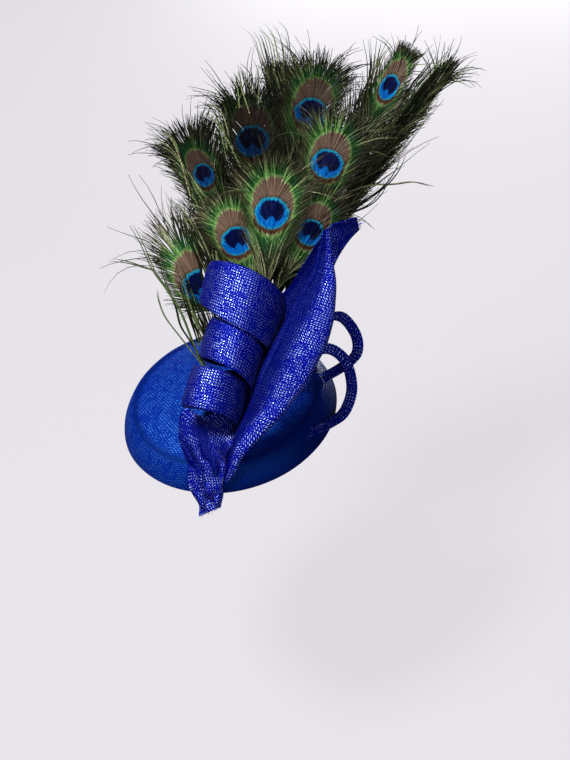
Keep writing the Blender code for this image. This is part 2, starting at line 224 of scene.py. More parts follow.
def makeStrawWeave():
    # open plain weave: threads one unit apart, whose floats catch the light as short dashes
    tree, given, result = makeGroup("strawWeave", {
        "Vector": ("Vector",), "Color": ("Thread", "Crest", "Gap"),
        "Float": ("Pitch", "Angle", "Unevenness", "Slimness", "Float Share", "Patchiness", "Crest Amount"),
    }, {"Color": ("Color",), "Float": ("Height", "Crest Mask", "Sparkle")})
    turned = addNode(tree, "VectorRotate", {"Vector": given["Vector"], "Angle": given["Angle"]},
                     rotation_type="Z_AXIS")[0]
    cells = scaled(tree, turned, maths(tree, "DIVIDE", 1.0, given["Pitch"]))
    wander = vectorMaths(tree, "SUBTRACT", noise(tree, cells, 0.3, 3.0)["Color"], (0.5, 0.5, 0.5))
    cells = vectorMaths(tree, "ADD", cells, scaled(tree, wander, times(tree, given["Unevenness"], 4.0)))
    split = addNode(tree, "SeparateXYZ", {0: cells})
    waves = [maths(tree, "SINE", times(tree, split[key], math.pi)) for key in ("X", "Y")]
    patch = noise(tree, cells, 0.09)["Fac"]  # where one way of the threads shines more than the other
    low = maths(tree, "SUBTRACT", 1.0, given["Patchiness"])
    room = maths(tree, "ADD", given["Float Share"], 1.0)
    threads, dashes = [], []
    for own, other, turn, shares in ((*waves, 1.0, (low, 1.0)), (*waves[::-1], -1.0, (1.0, low))):
        rise = times(tree, times(tree, maths(tree, "SIGN", own), other), turn)
        above = maths(tree, "DIVIDE", maths(tree, "ADD", rise, given["Float Share"]), room, clamp=True)
        body = maths(tree, "POWER", maths(tree, "ABSOLUTE", own), given["Slimness"])
        threads.append(times(tree, body, maths(tree, "POWER", above, 0.5)))
        dashes.append(times(tree, threads[-1], ramp(tree, patch, 0.42, 0.58, *shares)))
    raised, dash = maths(tree, "MAXIMUM", *threads), maths(tree, "MAXIMUM", *dashes)
    chance = addNode(tree, "TexWhiteNoise", {"Vector": vectorMaths(tree, "FLOOR", cells)},
                     noise_dimensions="3D")["Value"]
    lit = times(tree, ramp(tree, dash, 0.4, 0.88), ramp(tree, chance, 0.0, 0.8, 0.3, 1.0))
    deep = mixColours(tree, ramp(tree, raised, 0.05, 0.6), given["Gap"], given["Thread"])
    strength = times(tree, lit, given["Crest Amount"], clamp=True)
    setInputs(tree, result, {
        "Color": mixColours(tree, strength, deep, given["Crest"]), "Crest Mask": lit, "Sparkle": chance,
        "Height": maths(tree, "MULTIPLY_ADD", chance, 0.25, raised)})
    return tree


strawWeave = makeStrawWeave()


def makePeacockEye():
    # colours of an eye feather by the place from the eye's middle, in mm, y towards the tip
    tree, given, result = makeGroup("peacockEye", {"Vector": ("Place",), "Float": ("Streak", "Along", "Tone And Shade")},
                                    {"Color": ("Color",), "Float": ("Gloss",)})
    place, streak = given["Place"], given["Streak"]
    jag = maths(tree, "MULTIPLY_ADD", streak, 0.14, -0.07)

    def inside(middle, halves, whole, none):
        # one in an oval, whole and none being the shares of its size where it starts to fall and is nothing
        away = vectorMaths(tree, "DIVIDE", vectorMaths(tree, "SUBTRACT", place, (*middle, 0)), (*halves, 1))
        return ramp(tree, maths(tree, "ADD", vectorMaths(tree, "LENGTH", away), jag), whole, none, 1.0, 0.0)

    def streaked(plain, light):
        return mixColours(tree, streak, (*plain, 1), (*light, 1))

    specks, patches = noise(tree, place, 0.75)["Fac"], noise(tree, place, 0.05)["Fac"]
    # light: lighter specks on some barbs, partly the herls' own mottling and partly painted glints of the barbules,
    # placed at random
    light = times(tree, ramp(tree, specks, 0.36, 0.62, 0.35, 1.0), ramp(tree, streak, 0.48, 0.95, 0.02, 1.0))
    hue = maths(tree, "FRACT", times(tree, streak, 37.0))
    dark = mixColours(tree, ramp(tree, patches, 0.4, 0.6), (0.005, 0.004, 0.0025, 1), (0.004, 0.009, 0.003, 1))
    herl = mixColours(tree, light, dark, mixColours(tree, hue, (0.27, 0.26, 0.14, 1), (0.11, 0.20, 0.06, 1)))
    green = mixColours(tree, light, (0.004, 0.045, 0.010, 1), (0.09, 0.30, 0.05, 1))
    colour = mixColours(tree, inside((0, 4), (34, 46), 0.45, 1.0), herl, green)
    colour = mixColours(tree, ramp(tree, given["Along"], 0.62, 1.0), colour, (0.024, 0.021, 0.011, 1))
    rings = (  # middle, half sizes, edge softness, colour, streaked colour
        ((0, 3.5), (18.9, 26.2), 0.06, (0.07, 0.14, 0.03), (0.22, 0.32, 0.11)),
        ((0, 3.5), (17.6, 24.6), 0.05, (0.075, 0.048, 0.033), (0.13, 0.083, 0.058)),
        ((0, -4.2), (16.2, 16.4), 0.06, (0.030, 0.012, 0.006), (0.075, 0.03, 0.015)),
        ((0, -2.6), (14.6, 13.4), 0.05, (0.0, 0.15, 0.20), (0.01, 0.34, 0.38)),
        ((0, -2.9), (13.2, 12.2), 0.10, (0.0, 0.06, 0.3), (0.0, 0.135, 0.47)),
    )
    for middle, halves, edge, *colours in rings:
        colour = mixColours(tree, inside(middle, halves, 1 - edge, 1 + edge), colour, streaked(*colours))
    notch = inside((0, -10.5), (3.4, 5.2), 0.8, 1.2)
    pupil = times(tree, inside((0, -0.6), (10.8, 9.2), 0.92, 1.08), maths(tree, "SUBTRACT", 1.0, notch))
    colour = mixColours(tree, pupil, colour, streaked((0.0003, 0.001, 0.008), (0.0006, 0.004, 0.055)))
    # the whole colour is darkened by the given value, partly painted shade
    toneAndShade = addNode(tree, "CombineColor", dict.fromkeys(range(3), given["Tone And Shade"]))[0]
    setInputs(tree, result, {"Color": mixColours(tree, 1.0, colour, toneAndShade, blend="MULTIPLY"),
                             "Gloss": ramp(tree, specks, 0.3, 0.7, 0.28, 0.6)})
    return tree


peacockEye = makePeacockEye()

print("stage: materials")


def newMaterial(name, fixed):
    made = bpy.data.materials.new(name)
    made.use_nodes = True
    tree = made.node_tree
    shader = tree.nodes["Principled BSDF"]
    setInputs(tree, shader, fixed)
    return made, tree, shader


def strawMaterial(name, look):
    made, tree, shader = newMaterial(name, {"Specular IOR Level": 0.15, "Specular Tint": look["tint"]})
    paintedShadeAndDull = attributeValue(tree, "paintedShadeAndDull")
    shine = times(tree, maths(tree, "SUBTRACT", 1.0, paintedShadeAndDull), look["shine"])
    weave = addNode(tree, "Group", {
        "Vector": addNode(tree, "UVMap", uv_map="cloth")[0],
        "Patchiness": 0.9, "Crest Amount": times(tree, shine, look["crestAmount"]), **look["weave"],
    }, node_tree=strawWeave)
    # painted shade: the attribute's value takes the straw's colour towards the gaps' colour
    shade = times(tree, paintedShadeAndDull, look["shade"])
    setInputs(tree, shader, {
        "Base Color": mixColours(tree, shade, weave["Color"], look["weave"]["Gap"]),
        "Metallic": times(tree, weave["Crest Mask"], shine),
        "Roughness": ramp(tree, weave["Sparkle"], 0.0, 1.0, *look["rough"]),
        "Normal": bump(tree, weave["Height"], look["relief"]),
    })
    return made


stripStraw = strawMaterial("stripStraw", {
    "weave": {"Pitch": 1.6 * mm, "Angle": math.radians(45), "Unevenness": 0.36, "Slimness": 3.0,
              "Float Share": 0.8, "Thread": (0.0004, 0.003, 0.29, 1), "Crest": (0.46, 0.60, 1.0, 1),
              "Gap": (0.0001, 0.0004, 0.03, 1)},
    "crestAmount": 1.22, "rough": (0.32, 0.46), "relief": 0.2 * mm, "tint": (0.06, 0.14, 1.0, 1),
    "shine": 1.0, "shade": 0.95,  # shade: how near the straw's painted shade comes to the gaps' colour
})
baseStraw = strawMaterial("baseStraw", {
    "weave": {"Pitch": 1.5 * mm, "Angle": math.radians(28), "Unevenness": 0.28, "Slimness": 2.6,
              "Float Share": 0.6, "Thread": (0.0002, 0.013, 0.22, 1), "Crest": (0.06, 0.25, 0.80, 1),
              "Gap": (0.0001, 0.002, 0.05, 1)},
    "crestAmount": 1.4, "rough": (0.42, 0.55), "relief": 0.15 * mm, "tint": (0.08, 0.5, 1.0, 1),
    "shine": 0.62, "shade": 0.9,
})
eyeMapUnit = 100.0  # mm to a unit of the feathers' map


def plumeMaterial():
    made, tree, shader = newMaterial("peacockBarbs", {"Specular IOR Level": 0.05})
    place = scaled(tree, addNode(tree, "UVMap", uv_map="eyeMap")[0], eyeMapUnit)
    barb = addNode(tree, "SeparateColor", {0: attributeValue(tree, "barb", "Color")})
    eye = addNode(tree, "Group", {"Place": place, "Tone And Shade": barb[0], "Streak": barb[1], "Along": barb[2]},
                  node_tree=peacockEye)
    setInputs(tree, shader, {"Base Color": eye["Color"], "Roughness": eye["Gloss"]})
    return made


def grainMaterial(name, look):
    # plain matter with a fine grain
    made, tree, shader = newMaterial(name, {"Specular IOR Level": look["specular"]})
    place = addNode(tree, "TexCoord")["Object"]
    grain = noise(tree, place, look["scale"], look["detail"])["Fac"]
    share = ramp(tree, grain, *look["mottle"]) if "mottle" in look else grain
    colour = mixColours(tree, share, look["dark"], look["light"])
    if "tip" in look:
        colour = mixColours(tree, ramp(tree, attributeValue(tree, "along"), *look["tipFrom"]), colour, look["tip"])
    setInputs(tree, shader, {"Base Color": colour, "Roughness": ramp(tree, grain, 0.3, 0.7, *look["rough"])})
    if "relief" in look:
        setInputs(tree, shader, {"Normal": bump(tree, grain, *look["relief"])})
    return made


peacockBarbs = plumeMaterial()
looseThread = grainMaterial("looseThread", {
    "specular": 0.5, "scale": 900.0, "detail": 2.0, "mottle": (0.4, 0.7), "rough": (0.3, 0.6),
    "dark": (0.002, 0.004, 0.30, 1), "light": (0.06, 0.08, 0.6, 1)})
quillHorn = grainMaterial("quill", {
    "specular": 0.45, "scale": 260.0, "detail": 3.0, "mottle": (0.35, 0.7), "rough": (0.3, 0.5),
    "dark": (0.30, 0.24, 0.17, 1), "light": (0.62, 0.58, 0.50, 1), "tip": (0.035, 0.03, 0.015, 1),
    "tipFrom": (0.2, 0.55)})
combPlastic = grainMaterial("combPlastic", {
    "specular": 0.5, "scale": 420.0, "detail": 4.0, "rough": (0.22, 0.42), "relief": (0.05 * mm, 0.3),
    "dark": (0.012, 0.014, 0.03, 1), "light": (0.03, 0.034, 0.06, 1)})


def addPiece(name, points, faces, material, uvName=None, uv=None):
    mesh = bpy.data.meshes.new(name)
    mesh.from_pydata(np.reshape(points, (-1, 3)).tolist(), [], np.asarray(faces).tolist())
    mesh.shade_smooth()
    if uv is not None:
        corners = np.empty(len(mesh.loops), np.int32)
        mesh.loops.foreach_get("vertex_index", corners)
        layer = mesh.uv_layers.new(name=uvName)
        layer.data.foreach_set("uv", np.reshape(uv, (-1, 2)).astype(np.float32)[corners].ravel())
    mesh.materials.append(material)
    piece = addObject(name, mesh)
    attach(piece, "root")
    return piece


def gridFaces(rows, columns, closed=False):
    i, j = np.meshgrid(np.arange(rows - 1), np.arange(columns if closed else columns - 1), indexing="ij")
    nextJ = (j + 1) % columns
    return np.stack((i * columns + j, i * columns + nextJ, (i + 1) * columns + nextJ, (i + 1) * columns + j),
                    axis=-1).reshape(-1, 4)


def strandFaces(count, steps):
    # faces of many strips, each of two rows of points
    return (gridFaces(steps, 2)[None] + np.arange(count)[:, None, None] * steps * 2).reshape(-1, 4)


def gridNormals(points):
    along, across = np.gradient(points, axis=0), np.gradient(points, axis=1)
    return unit(np.cross(along, across))


def setValues(piece, name, values, kind="FLOAT", field="value"):
    # an attribute with a value at each point
    attribute = piece.data.attributes.new(name, kind, "POINT")
    attribute.data.foreach_set(field, np.asarray(values, np.float32).ravel())


def clothUv(points):
    # the way along the middle and the way across each row, in metres
    along = wayAlong(points[:, points.shape[1] // 2])
    across = np.cumsum(np.linalg.norm(np.diff(points, axis=1), axis=2), axis=1)
    across = np.concatenate((np.zeros((len(points), 1)), across), axis=1)
    across -= across[:, -1:] / 2
    return np.stack((np.repeat(along[:, None], points.shape[1], axis=1), across), axis=-1), along[-1]


fray = {"steps": 6, "width": 0.32, "rooted": 0.6}  # of a loose thread: points, width and how far inside it starts, mm


def frayedEnd(name, points, end, inner, count, longest, seed):
    # loose threads, the longest in mm, along a cut end of a strip; they leave it as it runs from an inner row
    rng = np.random.default_rng(seed)
    edge, outward = points[end], unit(points[end].mean(axis=0) - points[inner].mean(axis=0))
    roots = between(np.sort(rng.uniform(0.02, 0.98, count)), np.linspace(0, 1, len(edge)), edge)
    along = unit(edge[-1] - edge[0])
    heading = unit(outward + along * rng.uniform(-0.7, 0.7, (count, 1)) + rng.normal(0, 0.25, (count, 3)))
    length = longest * mm * rng.uniform(0.25, 1, (count, 1)) ** 1.5
    bend = rng.normal(0, 0.35, (count, 3))
    t = np.linspace(0, 1, fray["steps"])
    line = roots[:, None] + (heading[:, None] * t[:, None] + bend[:, None] * (t ** 2)[:, None]) * length[:, None]
    line[:, 0] -= outward * fray["rooted"] * mm
    across = unit(np.cross(np.gradient(line, axis=1), rng.normal(0, 1, (count, 1, 3)) + along))
    across = across * fray["width"] * mm / 2
    strips = np.stack((line + across, line - across), axis=2)
    return addPiece(name, strips, strandFaces(count, len(t)), looseThread)


def addStrip(name, node, points, paintedShadeAndDull, wall, ends=()):
    # a strip of sinamay from its grid of points, with its loose threads and its flat size; the value at each point
    # paints shade on the straw and takes away its shine
    uv, length = clothUv(points)
    piece = addPiece(name, points, gridFaces(*points.shape[:2]), stripStraw, "cloth", uv)
    setValues(piece, "paintedShadeAndDull", paintedShadeAndDull)
    solid = piece.modifiers.new("wall", "SOLIDIFY")
    solid.thickness, solid.offset, solid.use_even_offset = wall * mm, 0, False
    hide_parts(node)
    frays = [frayedEnd(threads, points, *how) for threads, *how in ends]
    width, length = round(float(np.ptp(uv[..., 1], axis=1).max()), 4), round(float(length), 4)


print("stage: base")
baseShape = {
    "rimRadius": 90.0, "height": 34.0, "crownEdgeRadius": 74.0, "crownDrop": 14.7, "crownSteps": 6,
    "side": ((79.5, 18.7), (82.8, 15.4), (86.6, 9.0), (89.0, 4.2), (90.0, 0.0)),  # below the crown: radius, height
    "wall": 1.4, "sampling": 0.7, "softness": 2.2, "turnSteps": 320, "rimRound": 0.7, "weld": 0.02,
    "unevenness": 0.35,  # how far the blocked cloth wanders, mm
    "paintedShadeAndDull": (0.92, 12.0, 50.0),  # painted shadow and lost shine on its lower right: how much, from where and over what way, mm
    "ridge": (0.75, 76.5, 3.6),  # painted shade in the crease inside its shoulder: how dark, where and how wide, mm
}


def baseLine():
    b = baseShape
    ball = (b["crownEdgeRadius"] ** 2 + b["crownDrop"] ** 2) / (2 * b["crownDrop"])
    crownR = np.linspace(0, b["crownEdgeRadius"], b["crownSteps"] + 1)
    crown = np.stack((crownR, b["height"] - ball + np.sqrt(ball ** 2 - crownR ** 2)), axis=1)
    line = np.concatenate((crown, b["side"]))
    far = wayAlong(line)
    line = between(np.linspace(0, far[-1], int(far[-1] / b["sampling"]) + 1), far, line)
    reach = int(3 * b["softness"] / b["sampling"])
    weights = bell(np.arange(-reach, reach + 1) * b["sampling"] / b["softness"])
    mirrored = line[reach:0:-1] * (-1, 1)
    beyond = 2 * line[-1] - line[-2:-2 - reach:-1]
    padded = np.concatenate((mirrored, line, beyond))
    soft = np.stack([np.convolve(padded[:, i], weights, mode="valid") for i in (0, 1)], axis=1)
    soft[0, 0] = 0
    return soft * mm


outerLine = baseLine()


def offTheBase(points, gap):
    # the points themselves, or where they stand the gap (mm) away from the outside of the base
    shape, points, gap = points.shape, points.reshape(-1, 3), gap * mm
    flat = np.hypot(points[:, 0], points[:, 1])
    here = np.stack((flat, points[:, 2]), axis=1)
    a, along = outerLine[:-1], np.diff(outerLine, axis=0)
    t = np.clip(((here[:, None] - a) * along).sum(-1) / (along ** 2).sum(-1), 0, 1)
    feet = a + along * t[..., None]
    apart = np.linalg.norm(here[:, None] - feet, axis=-1)
    best = apart.argmin(axis=1)
    rows = np.arange(len(points))
    foot, outward = feet[rows, best], unit(np.stack((-along[best, 1], along[best, 0]), axis=1))
    distance = apart[rows, best] * np.where(((here - foot) * outward).sum(-1) < 0, -1, 1)
    pushed = foot + outward * gap
    turn = points[:, :2] / np.maximum(flat, 1e-9)[:, None]
    moved = np.concatenate((turn * pushed[:, :1], pushed[:, 1:]), axis=1)
    touching = (distance < gap) & (here[:, 1] >= -gap)
    return np.where(touching[:, None], moved, points).reshape(shape)


def makeBase():
    b = baseShape
    wall = b["wall"] * mm
    tangent = unit(np.gradient(outerLine, axis=0))
    outward = np.stack((-tangent[:, 1], tangent[:, 0]), axis=1)
    inner = outerLine - outward * wall
    inner[0, 0] = 0
    inner[:, 0] = np.maximum(inner[:, 0], 0)
    rimAngles = np.linspace(0, math.pi, 8)[1:-1]
    middle = (outerLine[-1] + inner[-1]) / 2
    rim = middle + np.stack((np.cos(rimAngles), -np.sin(rimAngles)), axis=1) * wall / 2 * (1, b["rimRound"])
    line = np.concatenate((outerLine, rim, inner[::-1]))
    far = wayAlong(outerLine)
    far = np.concatenate((far, np.full(len(rim), far[-1]), far[::-1]))
    turns = np.arange(b["turnSteps"]) * math.tau / b["turnSteps"]
    radius, turn = np.meshgrid(line[:, 0], turns, indexing="ij")
    height = np.repeat(line[:, 1:], len(turns), axis=1)
    inward = smooth(radius / (b["crownEdgeRadius"] * mm))
    wander = np.sin(3 * turn + 0.6) + 0.7 * np.sin(5 * turn + 2.1) + 0.4 * np.sin(11 * turn + 40 * radius / 0.1)
    radius = radius + wander / 2 * b["unevenness"] * mm * inward
    points = np.stack((radius * np.cos(turn), radius * np.sin(turn), height), axis=-1)
    uv = np.stack((far[:, None] * np.cos(turns), far[:, None] * np.sin(turns)), axis=-1)
    faces = gridFaces(len(line), len(turns), closed=True)[:, ::-1]
    piece = addPiece("straw_base", points, faces, baseStraw, "cloth", uv)
    place = points.reshape(-1, 3) @ axes / mm
    # painted shadow on the lower right and painted shade in the shoulder's crease, with less shine in both
    most, start, over = b["paintedShadeAndDull"]
    crease, at, wide = b["ridge"]
    lowerRight = most * smooth((0.6 * place[:, 0] - 0.8 * place[:, 1] - start) / over)
    setValues(piece, "paintedShadeAndDull", np.maximum(lowerRight, crease * np.exp(-((radius.ravel() / mm - at) / wide) ** 2)))
    weld = piece.modifiers.new("crown", "WELD")
    weld.merge_threshold = b["weld"] * mm
    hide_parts("base")


makeBase()

print("stage: curl")
curlShape = {
    "lean": 14.0, "tipBack": 17.0, "coilStationsPerTurn": 12, "rowsPerTurn": 110, "columns": 25,
    "wall": 1.1, "gap": 1.3,
    "edgeTurnIn": 1.5,  # how far the folded edges bend inwards, mm
    "crown": 0.5,  # how far the middle of the band swells, mm
    "wave": 0.55,  # unevenness of the band, mm
    "gather": 2.8,  # depth of the gathers at the sewn tail, mm
    "paintedShadeAndDull": (0.6, 0.62, 0.85, 0.5),  # how much painted shade and lost shine it gets: facing left, facing right, on the gathers, on the flap
    "gatherTurn": 0.42,  # where the gathers end, in turns
    "easedTurn": 0.15,  # the tail is eased over the rim up to here
}
coil = (  # turn, across, up, out, radius, half width
    (0.75, -12.5, 9.5, 67, 22, 17),
    (1.25, -12.9, 15.2, 67, 22.5, 17),
    (2.25, 8.8, 54.2, 57, 28.5, 18),
    (3, 11, 83, 47, 32, 24.5),
    (3.25, 11.2, 99, 43, 32.2, 17.5),
)
tail = (  # turn, upper edge: across, up, out, lower edge: across, up, out
    (-0.45, -25.8, -87.8, 55, -7.5, -80, 61),
    (-0.30, -27, -77, 57, -6.5, -72, 63.5),
    (-0.15, -31.8, -62, 58.5, -5, -63.3, 66.5),
    (0.05, -35, -45, 63.5, -3.8, -49.7, 71),
    (0.25, -42, -22, 52, -2, -38, 72),
    (0.40, -39, 0, 45, 1.5, -31, 72.5),
    (0.56, -20, -5, 49, 5, -22, 72),
)
flap = (  # the same
    (3.50, 5, 110, 12, 12, 76, 18),
    (3.75, 41, 97.5, 24, 52, 66, 28),
    (3.95, 58.5, 117.5, 33, 74, 91, 34),
    (4.15, 81, 152.5, 45, 88, 124.5, 35),
    (4.30, 95, 158.5, 45, 98, 141, 35),
    (4.42, 105.5, 161.5, 42, 107.5, 151, 35),
)


def curlTable():
    c = curlShape
    lean, tip = math.radians(c["lean"]), math.radians(c["tipBack"])
    axis = np.array((math.cos(tip) * math.sin(lean), math.cos(tip) * math.cos(lean), -math.sin(tip)))
    front = np.array((math.sin(tip) * math.sin(lean), math.sin(tip) * math.cos(lean), math.cos(tip)))
    side = np.cross(front, axis)
    first, last = coil[0][0], coil[-1][0]
    turns = np.linspace(first, last, round((last - first) * c["coilStationsPerTurn"]) + 1)
    values = readTable(coil, turns)
    angle = turns[:, None] * math.tau
    middle = seen(values[:, :3]) + values[:, 3:4] * (np.cos(angle) * front + np.sin(angle) * side)
    upper, lower = middle + axis * values[:, 4:5], middle - axis * values[:, 4:5]
    before, after = ([(turn, *seen(edges[:3]), *seen(edges[3:])) for turn, *edges in rows] for rows in (tail, flap))
    return before + [(turn, *a, *b) for turn, a, b in zip(turns, upper, lower)] + after


def ease(points, rows, reach):
    # softens the kinks along a strip in its first rows
    weights = bell(np.arange(-3 * reach, 3 * reach + 1) / reach)
    padded = np.concatenate((2 * points[:1] - points[3 * reach:0:-1], points), axis=0)
    soft = sum(w * padded[k:k + rows] for k, w in enumerate(weights))
    share = smooth(np.linspace(1, 0, rows) * 3)[:, None, None]
    result = points.copy()
    result[:rows] = points[:rows] * (1 - share) + soft * share
    return result


def layOnBase(points, gap, rows):
    for reach in (6, 3):
        points = ease(offTheBase(points, gap), rows, reach)
    return points


def makeCurl():
    c = curlShape
    table = curlTable()
    first, last = table[0][0], table[-1][0]
    turns = np.linspace(first, last, round((last - first) * c["rowsPerTurn"]) + 1)
    values = readTable(table, turns)
    s = np.linspace(-1, 1, c["columns"])
    t = ((s + 1) / 2)[None, :, None]
    points = toHat(values[:, None, :3] * (1 - t) + values[:, None, 3:] * t)
    normals = gridNormals(points)
    front = np.abs(turns - 2.0).argmin()
    if normals[front, c["columns"] // 2] @ axes[:, 2] < 0:
        normals = -normals
    u, v = turns[:, None], s[None, :]
    ends = smooth((u - first) / 0.2) * smooth((last - u) / 0.25)
    swell = c["crown"] * (1 - v ** 2) - c["edgeTurnIn"] * np.abs(v) ** 7
    wave = c["wave"] * (np.sin(9.1 * u + 1.7 * v) + 0.6 * np.sin(17.3 * u - 2.4 * v + 1.0))
    gather = smooth((c["gatherTurn"] - u) / 0.4)
    folds = np.sin(6.0 * v + 16 * u + 0.5) + 0.5 * np.sin(10 * v - 11 * u + 0.8)
    points = points + normals * ((swell + wave * (1 - gather)) * ends)[..., None] * mm
    points = layOnBase(points, c["gap"], int((c["easedTurn"] - first) * c["rowsPerTurn"]))
    points = points + normals * (folds * gather * smooth((u - first) / 0.12) * c["gather"])[..., None] * mm
    # painted shade and lost shine: on the coils' sides turned left and right, over the gathers and most in their
    # hollows, and on the flap
    leftward, coiled = normals @ -axes[:, 0], smooth((u - 0.5) / 0.3)
    gathered = smooth((u + 0.12) / 0.2) * smooth((0.5 - u) / 0.15) * (0.6 + 0.4 * smooth(0.5 - folds))
    shares = (smooth((leftward - 0.25) / 0.5) * coiled, smooth((0.05 - leftward) / 0.5) * coiled,
              gathered, smooth((u - 3.6) / 0.3))
    paintedShadeAndDull = sum(share * amount for share, amount in zip(shares, c["paintedShadeAndDull"])).clip(0, 0.8)
    addStrip("curled_strip", "curl", offTheBase(points, c["gap"]), paintedShadeAndDull, c["wall"],
             (("tail_threads", 0, 4, 30, 2.6, 3), ("flap_threads", -1, -5, 24, 4.0, 4)))


makeCurl()

print("stage: leaf")
leafShape = {"rows": 230, "faceColumns": 36, "rollColumns": 22, "rollTurn": 220.0, "fullRoll": 3.4,
             "wall": 1.1, "gap": 1.3, "wave": 0.45, "easedRows": 30, "footRound": 0.05, "skew": 0.45,
             "paintedShadeAndDull": 0.85}
leafTable = (  # key, rolled edge: across, up, out, free edge: across, up, out, bulge, roll radius
    (0, -5.6, -60, 70.5, 0.8, -61.5, 69.5, 0.5, 0.9),
    (0.6, -4.4, -48, 75.5, 3.5, -50.5, 73, 1.5, 1.2),
    (1.4, 2.7, -24, 79, 12, -36, 79, 3, 2),
    (2.3, 10, -7.5, 82, 30, -17, 82, 5, 3),
    (3.2, 17.3, 7.2, 86, 47, 1.7, 81, 7, 3.6),
    (4.2, 26.5, 31, 87, 61.2, 20, 77, 8, 4),
    (5.4, 37.5, 54.8, 80, 74, 43.8, 70, 8.5, 4.2),
    (6.6, 48.5, 78.7, 71, 83, 66, 63, 8.5, 4.2),
    (7.8, 57.7, 97, 64, 86.5, 88, 57, 7.5, 4),
    (8.8, 68.7, 115.3, 59, 86.5, 110, 53, 5.5, 3.4),
    (9.8, 75.4, 136, 54, 84.3, 133, 49.5, 2, 1.6),
    (10.4, 77.4, 151.3, 51.5, 82, 150.8, 49.5, 0.4, 0.9),
)


def makeLeaf():
    f = leafShape
    keys = np.linspace(leafTable[0][0], leafTable[-1][0], f["rows"])
    values = readTable(leafTable, keys)
    left, right = seen(values[:, :3]), seen(values[:, 3:6])
    bulge, roll = values[:, 6, None, None], values[:, 7, None]
    sideways = unit(left - right)
    flat = unit(np.stack((-sideways[:, 1], sideways[:, 0], np.zeros(len(keys))), axis=1))
    outward = unit(np.cross(sideways, flat))
    outward = outward * np.where(outward[:, 2:] < 0, -1, 1)
    centre = left - sideways * roll - outward * roll
    faceEnd = centre + outward * roll
    t = np.linspace(0, 1, f["faceColumns"])[None, :, None]
    swell = bulge * 4 * t ** f["skew"] * (1 - t ** f["skew"])
    face = right[:, None] * (1 - t) + faceEnd[:, None] * t + outward[:, None] * swell
    turn = math.radians(f["rollTurn"]) * np.minimum(roll / f["fullRoll"], 1) ** 1.5
    angle = (turn * np.linspace(0, 1, f["rollColumns"] + 1)[None, 1:])[..., None]
    rolled = centre[:, None] + roll[:, None] * (np.cos(angle) * outward[:, None] + np.sin(angle) * sideways[:, None])
    points = toHat(np.concatenate((face, rolled), axis=1))
    u = (keys / keys[-1])[:, None]
    v = np.linspace(0, 1, points.shape[1])[None, :]
    wave = np.sin(11 * u + 3 * v) + 0.6 * np.sin(23 * u - 5 * v + 1.3) + 0.35 * np.sin(47 * u + 9 * v)
    ends = smooth(u / 0.08) * smooth((1 - u) / 0.08)
    normals = gridNormals(points)
    points = points + normals * (wave * ends * f["wave"])[..., None] * mm
    points = layOnBase(points, f["gap"], f["easedRows"])
    narrow = smooth(u / f["footRound"])[..., None] ** 0.5
    points = points[:, -1:] * (1 - narrow) + points * narrow
    across = np.concatenate((np.linspace(0, 1, f["faceColumns"]), np.full(f["rollColumns"], 1.0)))
    start = 0.52 - 0.12 * smooth((keys - 5.5) / 2.5)  # painted shade and less shine on the rolled side, and more of it further up
    paintedShadeAndDull = f["paintedShadeAndDull"] * smooth((across - start[:, None]) / 0.4)
    addStrip("rolled_leaf", "leaf", points, paintedShadeAndDull, f["wall"])


makeLeaf()

print("stage: loops")
loopShape = {"halfWidth": 4.5, "halfThickness": 0.75, "rows": 150, "columns": 25, "wall": 0.5, "gap": 0.75,
             "paintedShadeAndDull": 0.38}
loopTables = {  # key, across, up, out, which way the width points
    "loop_upper": (
        (0, 56, 46, -4, 0.9, 0.1, 0.4), (1, 66, 62, 14, 0.8, -0.2, 0.6),
        (2, 78, 75.5, 24, 0.4, 0.6, 0.7), (3, 92.5, 78.5, 28, 0.5, 0.8, 0.4),
        (4, 104.5, 64, 28, 0.9, 0.3, 0.3), (5, 105.5, 48, 27, 0.9, -0.3, 0.4),
        (6, 93, 36.5, 25, 0.4, -0.8, 0.5), (7, 77.5, 27.5, 16, 0.3, -0.8, 0.5),
    ),
    "loop_lower": (
        (0, 60, 18, 30.5, 0.9, 0.1, 0.4), (1, 67, 40, 36, 0.7, -0.4, 0.6),
        (2, 80, 52, 36, 0.2, 0.9, 0.3), (3, 95.5, 42.5, 35, 0.7, 0.6, 0.3),
        (4, 101.5, 20, 32, 0.9, 0.1, 0.3), (5, 96, 0.5, 31, 0.8, -0.5, 0.3),
        (6, 84.5, -9.5, 38, 0.3, -0.8, 0.5), (7, 69, -16.5, 49, 0.2, -0.7, 0.7),
    ),
}


def makeLoop(node, seed):
    o = loopShape
    table = loopTables[node]
    values = readTable(table, np.linspace(table[0][0], table[-1][0], o["rows"]))
    middle, width = seen(values[:, :3]), unit(values[:, 3:])
    turn = np.linspace(0, math.tau, o["columns"])  # the strip is folded into a flat tube
    along = np.gradient(middle, axis=0)
    outward = unit(np.cross(along, width))
    acrossBand = np.sign(np.cos(turn)) * np.abs(np.cos(turn)) ** 0.75 * o["halfWidth"]
    throughBand = np.sign(np.sin(turn)) * np.abs(np.sin(turn)) ** 0.6 * o["halfThickness"]
    points = toHat(middle[:, None] + width[:, None] * acrossBand[None, :, None]
                   + outward[:, None] * throughBand[None, :, None])
    points = offTheBase(points, o["gap"])
    # painted shade and lost shine all along the narrow strip
    addStrip("narrow_" + node, node, points, np.full(points.shape[:2], o["paintedShadeAndDull"]), o["wall"],
             ((node + "_threads", -1, -4, 26, 7.0, seed),))


for seed, node in enumerate(loopTables, 11):
    makeLoop(node, seed)

